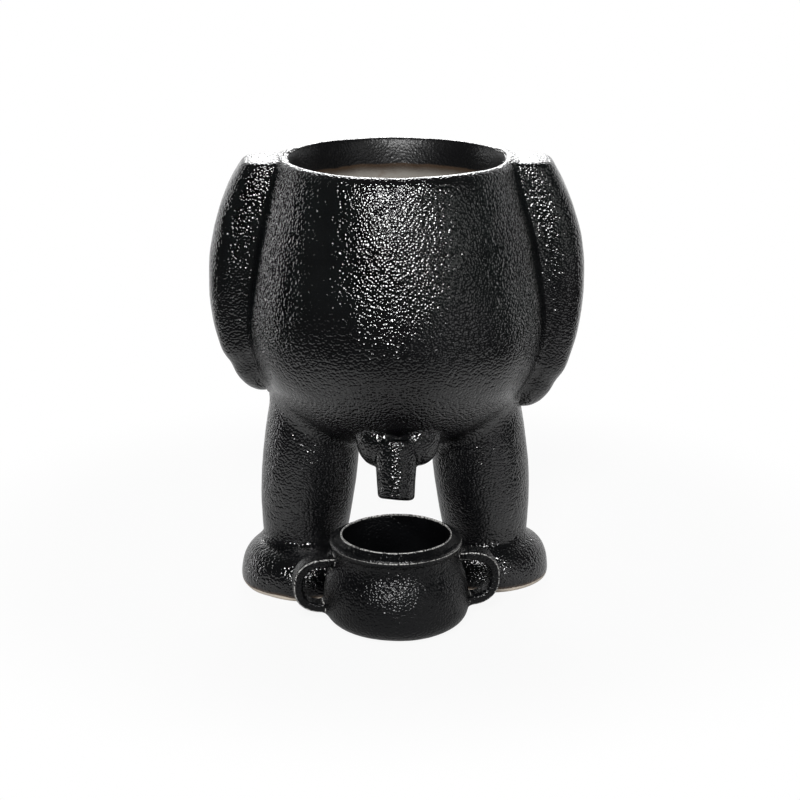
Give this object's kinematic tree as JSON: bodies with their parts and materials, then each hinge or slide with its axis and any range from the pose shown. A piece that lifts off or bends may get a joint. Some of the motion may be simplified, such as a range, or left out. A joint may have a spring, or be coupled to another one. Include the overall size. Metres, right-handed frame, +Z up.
{
  "type": "figure planter with drip cup",
  "caption": "Glazed ceramic plant pot shaped as a headless standing figure, with a drain spout at the front that empties into a loose loop-handled drip cup.",
  "frame": {"origin": "on the table, under the middle of the box round the planter and its cup", "axes": "+Z up; -Y is the front, where the spout and the cup are; +X is to the right as seen from the front"},
  "size_m": [0.105, 0.0988, 0.1224],
  "materials": {
    "pot_glaze": "black lumpy orange-peel glaze, semi-gloss",
    "cup_glaze": "black lumpy orange-peel glaze, semi-gloss"
  },
  "bodies": {
    "planter": {"pot_body": "pot_glaze", "left_arm": "pot_glaze", "right_arm": "pot_glaze", "left_leg": "pot_glaze", "right_leg": "pot_glaze", "left_foot": "pot_glaze", "right_foot": "pot_glaze", "spout": "pot_glaze", "left_lobe": "pot_glaze", "right_lobe": "pot_glaze"},
    "cup": {"cup_bowl": "cup_glaze", "cup_left_handle": "cup_glaze", "cup_right_handle": "cup_glaze"}
  },
  "joints": [
    {"name": "cup_slide", "type": "slide", "parent": "planter", "child": "cup", "axis": [0, -1, 0], "range_m": [-0.002, 0.1]}
  ]
}
